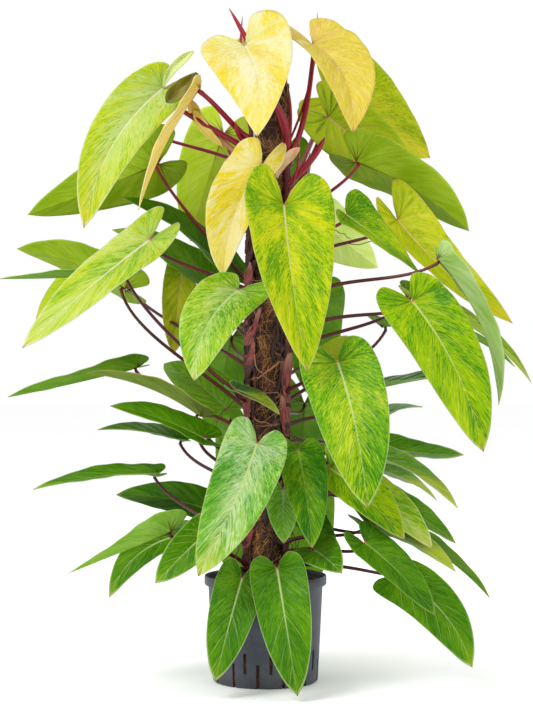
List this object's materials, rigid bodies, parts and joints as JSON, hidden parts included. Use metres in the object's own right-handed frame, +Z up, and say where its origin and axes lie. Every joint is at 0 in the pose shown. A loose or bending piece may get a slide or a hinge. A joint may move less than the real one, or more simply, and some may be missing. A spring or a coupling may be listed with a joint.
{
  "type": "potted painted lady philodendron",
  "caption": "Climbing philodendron with long heart-shaped leaves marbled in green, yellow and cream, trained up a coir pole in a round slotted culture pot.",
  "frame": {"origin": "centre of the underside of the pot, on the surface that it stands on", "axes": "+Z up the pole; -Y is the front, towards the viewer of the picture; +X to that viewer's right"},
  "size_m": [0.9535, 0.6357, 1.2118],
  "materials": {
    "pot_plastic": "slate grey moulded plastic, satin",
    "coir_substrate": "brown coir and bark granules, matt",
    "coconut_fibre": "coarse brown coconut fibre, matt",
    "stake_wood": "bare pale wood",
    "vine_stem": "fleshy stalk, crimson above to dark maroon below, satin",
    "leaf_green": "waxy leaf, green marbled with yellow-green, satin",
    "leaf_yellow": "waxy new leaf, yellow and cream, satin"
  },
  "bodies": {
    "root": {"coir_pole": "coconut_fibre", "culture_pot": "pot_plastic", "leaf_back_high": "leaf_green", "leaf_back_left": "leaf_green", "leaf_back_low": "leaf_green", "leaf_back_right": "leaf_green", "leaf_centre_cream": "leaf_yellow", "leaf_crown_back": "leaf_yellow", "leaf_crown_front": "leaf_yellow", "leaf_crown_right": "leaf_yellow", "leaf_front_tall": "leaf_green", "leaf_left_bronze": "leaf_green", "leaf_left_dark_broad": "leaf_green", "leaf_left_dark_low": "leaf_green", "leaf_left_dark_slim": "leaf_green", "leaf_left_dark_top": "leaf_green", "leaf_left_edge": "leaf_green", "leaf_left_heart": "leaf_green", "leaf_left_high": "leaf_green", "leaf_left_mid_dark": "leaf_green", "leaf_left_mid_reach": "leaf_green", "leaf_left_out": "leaf_green", "leaf_left_pale": "leaf_green", "leaf_left_reach": "leaf_green", "leaf_left_strip": "leaf_yellow", "leaf_left_under": "leaf_green", "leaf_low_left_back": "leaf_green", "leaf_low_left_drip": "leaf_green", "leaf_low_left_long": "leaf_green", "leaf_low_left_near": "leaf_green", "leaf_low_left_reach": "leaf_green", "leaf_low_mottled": "leaf_green", "leaf_pale_front": "leaf_green", "leaf_pot_front": "leaf_green", "leaf_pot_left": "leaf_green", "leaf_right_band": "leaf_green", "leaf_right_big": "leaf_green", "leaf_right_dark": "leaf_green", "leaf_right_edge": "leaf_green", "leaf_right_far": "leaf_green", "leaf_right_foot": "leaf_green", "leaf_right_heart": "leaf_green", "leaf_right_hook": "leaf_green", "leaf_right_lime": "leaf_green", "leaf_right_long": "leaf_green", "leaf_right_low": "leaf_green", "leaf_right_low_back": "leaf_green", "leaf_right_mid_back": "leaf_green", "leaf_right_pale": "leaf_green", "leaf_right_slim": "leaf_green", "leaf_right_spear": "leaf_green", "leaf_right_top": "leaf_green", "leaf_right_top_back": "leaf_green", "leaf_right_under": "leaf_green", "pole_stake": "stake_wood", "substrate": "coir_substrate", "vine_back_left": "vine_stem", "vine_back_right": "vine_stem", "vine_front_left": "vine_stem", "vine_front_right": "vine_stem"}
  },
  "joints": []
}
